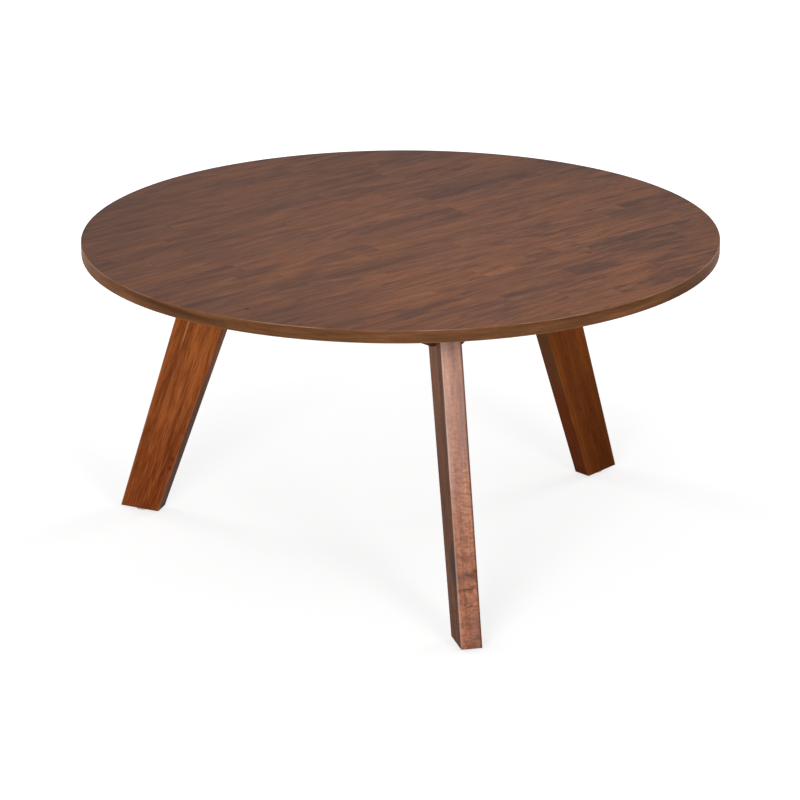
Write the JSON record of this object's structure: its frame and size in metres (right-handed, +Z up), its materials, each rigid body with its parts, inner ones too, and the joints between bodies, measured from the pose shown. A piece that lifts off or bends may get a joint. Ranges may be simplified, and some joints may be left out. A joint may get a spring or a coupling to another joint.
{
  "type": "round cocktail table",
  "caption": "Low round wooden table: a thin veneered disc on a triangular apron, carried by splayed tapered board legs bolted to corner blocks.",
  "frame": {"origin": "on the floor, under the middle of the round top", "axes": "+Z up, -Y towards the front leg, +X to the right as seen from the front leg"},
  "size_m": [0.9016, 0.9016, 0.4636],
  "materials": {
    "top_veneer": "satin lacquer on brown stave veneer",
    "bottom_veneer": "plain sealed back veneer",
    "edge_band": "satin lacquer on brown veneer",
    "core_board": "raw particle board",
    "leg_wood": "satin lacquer on brown hardwood",
    "rail_wood": "satin lacquer on brown hardwood",
    "block_wood": "raw sawn wood",
    "nylon": "natural nylon",
    "nail_steel": "bright steel",
    "screw_steel": "yellow zinc plate",
    "bolt_steel": "bright zinc plate"
  },
  "bodies": {
    "root": {"bottom_veneer": "bottom_veneer", "edge_band": "edge_band", "front_block_screws": "screw_steel", "front_corner_block": "block_wood", "front_flat_washers": "bolt_steel", "front_foot_glide": "nylon", "front_glide_nail": "nail_steel", "front_hanger_bolts": "bolt_steel", "front_leg": "leg_wood", "front_nuts": "bolt_steel", "front_spring_washers": "bolt_steel", "left_block_screws": "screw_steel", "left_corner_block": "block_wood", "left_flat_washers": "bolt_steel", "left_foot_glide": "nylon", "left_glide_nail": "nail_steel", "left_hanger_bolts": "bolt_steel", "left_leg": "leg_wood", "left_nuts": "bolt_steel", "left_rail": "rail_wood", "left_spring_washers": "bolt_steel", "left_top_screws": "screw_steel", "rear_rail": "rail_wood", "rear_top_screws": "screw_steel", "right_block_screws": "screw_steel", "right_corner_block": "block_wood", "right_flat_washers": "bolt_steel", "right_foot_glide": "nylon", "right_glide_nail": "nail_steel", "right_hanger_bolts": "bolt_steel", "right_leg": "leg_wood", "right_nuts": "bolt_steel", "right_rail": "rail_wood", "right_spring_washers": "bolt_steel", "right_top_screws": "screw_steel", "top_core": "core_board", "top_veneer": "top_veneer"}
  },
  "joints": []
}
